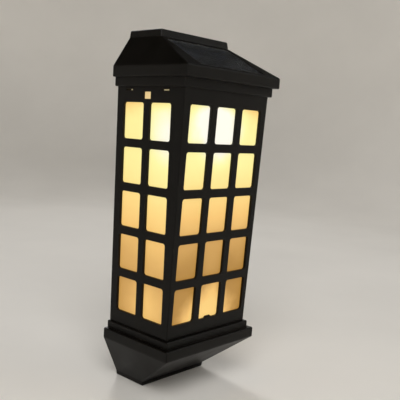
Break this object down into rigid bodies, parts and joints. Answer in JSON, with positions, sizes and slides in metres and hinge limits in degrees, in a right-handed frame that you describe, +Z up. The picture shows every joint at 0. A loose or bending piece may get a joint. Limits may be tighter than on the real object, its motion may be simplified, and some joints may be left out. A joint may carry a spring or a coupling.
{
  "type": "solar wall light",
  "caption": "Wall lantern with a latticed body, glowing frosted panes, a tapered base and a lift-off hip roof that holds a solar panel, battery and lamp.",
  "frame": {"origin": "on the wall plane, midway between the two keyholes in the back plate", "axes": "+Z up, +Y into the wall, -Y out of the wall towards the viewer, +X to the viewer's right"},
  "size_m": [0.1066, 0.0792, 0.2773],
  "materials": {
    "black_plastic": "satin moulded black",
    "frosted_pane": "frosted cream diffuser, lit from behind",
    "white_plastic": "satin white",
    "cell_blue": "polycrystalline cell",
    "clear_cover": "clear",
    "board_green": "solder mask",
    "board_black": "solder mask",
    "foam": "foam tape",
    "lamp_clear": "clear epoxy",
    "component_black": "moulded",
    "coil_copper": "wound wire",
    "capacitor_sleeve": "shrink sleeve",
    "cell_sleeve": "shrink sleeve",
    "contact_nickel": "nickel plated",
    "wire_red": "insulated wire",
    "wire_black": "insulated wire",
    "screw_steel": "zinc plated",
    "knob_white": "moulded"
  },
  "bodies": {
    "lantern": {"lattice_frame": "black_plastic", "front_pane": "frosted_pane", "left_pane": "frosted_pane", "right_pane": "frosted_pane", "back_plate": "black_plastic", "back_reflector": "white_plastic", "base_shell": "black_plastic", "floor_plate": "white_plastic", "base_screws": "screw_steel"},
    "solar_head": {"roof_shell": "black_plastic", "head_tray": "black_plastic", "panel_gasket": "foam", "solar_board": "board_black", "solar_cells": "cell_blue", "solar_cover": "clear_cover", "control_board": "board_green", "led_lamp": "lamp_clear", "driver_chip": "component_black", "drum_coil": "coil_copper", "storage_capacitor": "capacitor_sleeve", "battery_holder": "component_black", "battery_cell": "cell_sleeve", "battery_plate": "contact_nickel", "battery_leaf": "contact_nickel", "panel_wire_red": "wire_red", "panel_wire_black": "wire_black", "battery_wire_red": "wire_red", "battery_wire_black": "wire_black", "switch_wires": "wire_red", "switch_case": "component_black", "roof_screws": "screw_steel"},
    "power_switch": {"switch_knob": "knob_white"}
  },
  "joints": [
    {"name": "head_lift", "type": "slide", "parent": "lantern", "child": "solar_head", "axis": [0, 0, 1], "range_m": [0, 0.06]},
    {"name": "switch_slide", "type": "slide", "parent": "solar_head", "child": "power_switch", "axis": [1, 0, 0], "range_m": [0, 0.002]}
  ]
}
